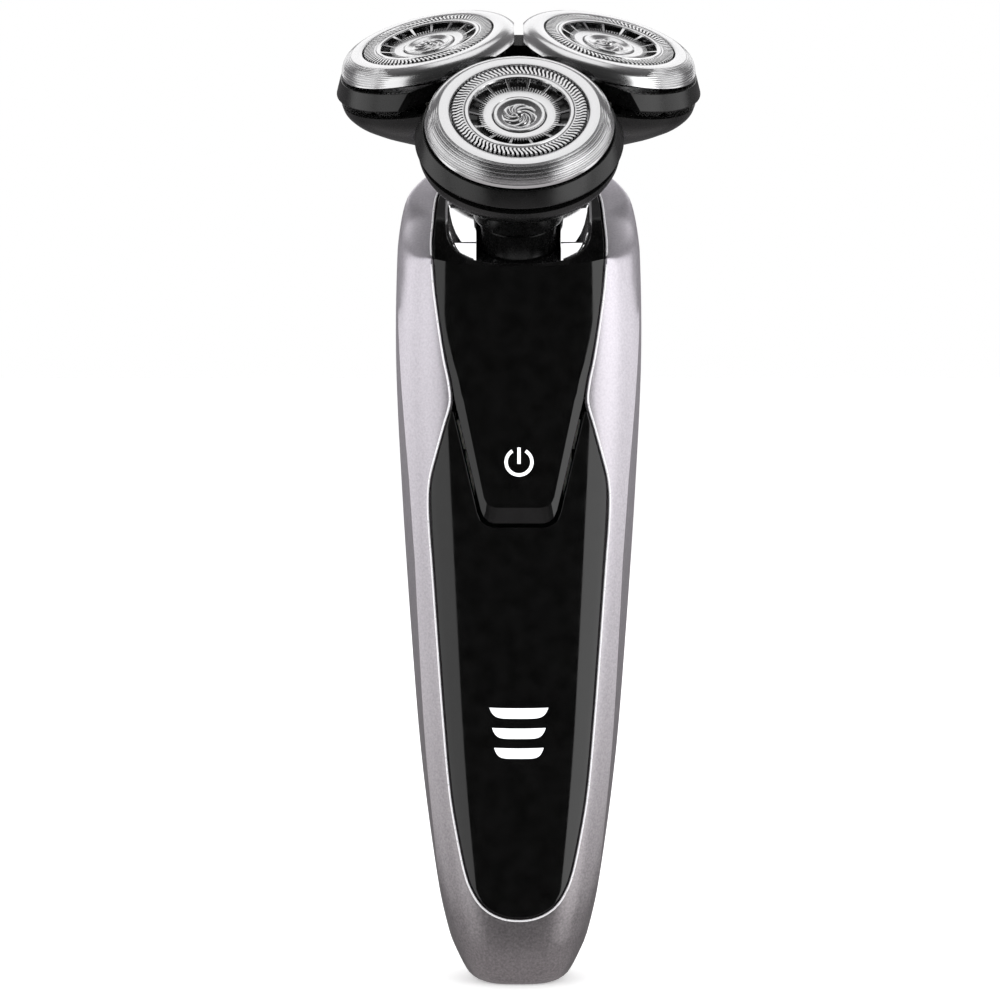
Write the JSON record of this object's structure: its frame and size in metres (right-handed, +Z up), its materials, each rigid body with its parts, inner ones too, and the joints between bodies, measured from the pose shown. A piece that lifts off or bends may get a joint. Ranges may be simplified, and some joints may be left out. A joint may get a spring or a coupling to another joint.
{
  "type": "rotary electric shaver",
  "caption": "Handheld rotary electric shaver with a slender handle, a leaning neck and three floating round shaving heads.",
  "frame": {"origin": "middle of the flat foot under the handle", "axes": "+Z up along the handle, the front with the power key faces -Y, +X to the right seen from the front"},
  "size_m": [0.0636, 0.0592, 0.1678],
  "materials": {
    "gloss_black": "polished",
    "satin_black": "satin",
    "rubber_black": "matte",
    "silver_paint": "metallic satin",
    "chrome": "mirror",
    "brushed_steel": "brushed",
    "dark_steel": "satin",
    "white_lens": "satin",
    "nylon": "moulded",
    "circuit_green": "solder mask",
    "battery_wrap": "film",
    "brass": "satin"
  },
  "bodies": {
    "handle": {"side_frame": "silver_paint", "rear_cover": "satin_black", "rear_grip": "rubber_black", "front_panel": "gloss_black", "battery_light_guide": "white_lens", "chrome_collar": "chrome", "inner_chassis": "nylon", "battery_cell": "battery_wrap", "battery_tab_lower": "brass", "battery_tab_upper": "brass", "circuit_board": "circuit_green", "power_switch": "satin_black", "charging_socket": "satin_black", "charging_pin_left": "brass", "charging_pin_right": "brass", "motor_can": "dark_steel", "motor_bearing": "brass", "neck_tube": "satin_black", "neck_bearing": "brass", "neck_seal": "rubber_black"},
    "key": {"power_key": "gloss_black", "power_symbol_lens": "white_lens"},
    "rotor": {"motor_rotor": "dark_steel", "drive_joint_cup": "nylon"},
    "spindle": {"drive_spindle": "dark_steel"},
    "head_base": {"head_base_shell": "satin_black", "gear_plate": "nylon"},
    "sun": {"sun_gear": "nylon"},
    "head_top": {"head_carrier": "satin_black"},
    "gear_front": {"drive_gear_front": "nylon"},
    "gimbal_front": {"gimbal_ring_front": "nylon"},
    "pod_front": {"pod_cup_front": "gloss_black", "skin_ring_front": "brushed_steel", "guard_front": "brushed_steel", "guard_cap_front": "brushed_steel", "cutter_retainer_front": "satin_black"},
    "blades_front": {"cutter_front": "dark_steel"},
    "gear_right": {"drive_gear_right": "nylon"},
    "gimbal_right": {"gimbal_ring_right": "nylon"},
    "pod_right": {"pod_cup_right": "gloss_black", "skin_ring_right": "brushed_steel", "guard_right": "brushed_steel", "guard_cap_right": "brushed_steel", "cutter_retainer_right": "satin_black"},
    "blades_right": {"cutter_right": "dark_steel"},
    "gear_left": {"drive_gear_left": "nylon"},
    "gimbal_left": {"gimbal_ring_left": "nylon"},
    "pod_left": {"pod_cup_left": "gloss_black", "skin_ring_left": "brushed_steel", "guard_left": "brushed_steel", "guard_cap_left": "brushed_steel", "cutter_retainer_left": "satin_black"},
    "blades_left": {"cutter_left": "dark_steel"}
  },
  "joints": [
    {"name": "key_press", "type": "hinge", "parent": "handle", "child": "key", "pos_m": [0, 0.00899, 0.13527], "axis": [1, 0, 0], "range_deg": [0, 1], "stiffness_Nm_per_rad": 3},
    {"name": "motor_spin", "type": "hinge", "parent": "handle", "child": "rotor", "pos_m": [0, 0.011, 0.1], "axis": [0, 0, 1], "continuous": true},
    {"name": "spindle_spin", "type": "hinge", "parent": "handle", "child": "spindle", "pos_m": [0, 0.007, 0.12892], "axis": [0, -0.5, 0.866], "continuous": true},
    {"name": "unit_release", "type": "slide", "parent": "handle", "child": "head_base", "axis": [0, -0.5, 0.866], "range_m": [0, 0.02]},
    {"name": "sun_spin", "type": "hinge", "parent": "head_base", "child": "sun", "pos_m": [0, -0.0025, 0.14538], "axis": [0, -0.5, 0.866], "continuous": true},
    {"name": "unit_open", "type": "slide", "parent": "head_base", "child": "head_top", "axis": [0, -0.5, 0.866], "range_m": [0, 0.015]},
    {"name": "gear_front_spin", "type": "hinge", "parent": "head_base", "child": "gear_front", "pos_m": [0, -0.01636, 0.13738], "axis": [0, -0.5, 0.866], "continuous": true},
    {"name": "pod_front_tilt", "type": "hinge", "parent": "head_top", "child": "gimbal_front", "pos_m": [0, -0.01935, 0.14255], "axis": [1, 0, 0], "range_deg": [-3, 3], "stiffness_Nm_per_rad": 0.2},
    {"name": "pod_front_rock", "type": "hinge", "parent": "gimbal_front", "child": "pod_front", "pos_m": [0, -0.01935, 0.14255], "axis": [0, 0.7193, 0.6947], "range_deg": [-3, 3], "stiffness_Nm_per_rad": 0.2},
    {"name": "cutter_front_spin", "type": "hinge", "parent": "pod_front", "child": "blades_front", "pos_m": [0, -0.01935, 0.14255], "axis": [0, -0.6947, 0.7193], "continuous": true},
    {"name": "gear_right_spin", "type": "hinge", "parent": "head_base", "child": "gear_right", "pos_m": [0.01386, 0.00443, 0.14938], "axis": [0, -0.5, 0.866], "continuous": true},
    {"name": "pod_right_tilt", "type": "hinge", "parent": "head_top", "child": "gimbal_right", "pos_m": [0.01386, 0.00144, 0.15455], "axis": [-0.5, 0.75, 0.433], "range_deg": [-3, 3], "stiffness_Nm_per_rad": 0.2},
    {"name": "pod_right_rock", "type": "hinge", "parent": "gimbal_right", "child": "pod_right", "pos_m": [0.01386, 0.00144, 0.15455], "axis": [-0.8403, -0.5411, -0.0331], "range_deg": [-3, 3], "stiffness_Nm_per_rad": 0.2},
    {"name": "cutter_right_spin", "type": "hinge", "parent": "pod_right", "child": "blades_right", "pos_m": [0.01386, 0.00144, 0.15455], "axis": [0.2095, -0.3804, 0.9008], "continuous": true},
    {"name": "gear_left_spin", "type": "hinge", "parent": "head_base", "child": "gear_left", "pos_m": [-0.01386, 0.00443, 0.14938], "axis": [0, -0.5, 0.866], "continuous": true},
    {"name": "pod_left_tilt", "type": "hinge", "parent": "head_top", "child": "gimbal_left", "pos_m": [-0.01386, 0.00144, 0.15455], "axis": [-0.5, -0.75, -0.433], "range_deg": [-3, 3], "stiffness_Nm_per_rad": 0.2},
    {"name": "pod_left_rock", "type": "hinge", "parent": "gimbal_left", "child": "pod_left", "pos_m": [-0.01386, 0.00144, 0.15455], "axis": [0.8403, -0.5411, -0.0331], "range_deg": [-3, 3], "stiffness_Nm_per_rad": 0.2},
    {"name": "cutter_left_spin", "type": "hinge", "parent": "pod_left", "child": "blades_left", "pos_m": [-0.01386, 0.00144, 0.15455], "axis": [-0.2095, -0.3804, 0.9008], "continuous": true}
  ],
  "couplings": [
    {"joint": "spindle_spin", "follows": "motor_spin", "ratio": 1},
    {"joint": "sun_spin", "follows": "motor_spin", "ratio": 1},
    {"joint": "gear_front_spin", "follows": "motor_spin", "ratio": -1.2222},
    {"joint": "cutter_front_spin", "follows": "motor_spin", "ratio": -1.2222},
    {"joint": "gear_right_spin", "follows": "motor_spin", "ratio": -1.2222},
    {"joint": "cutter_right_spin", "follows": "motor_spin", "ratio": -1.2222},
    {"joint": "gear_left_spin", "follows": "motor_spin", "ratio": -1.2222},
    {"joint": "cutter_left_spin", "follows": "motor_spin", "ratio": -1.2222}
  ]
}
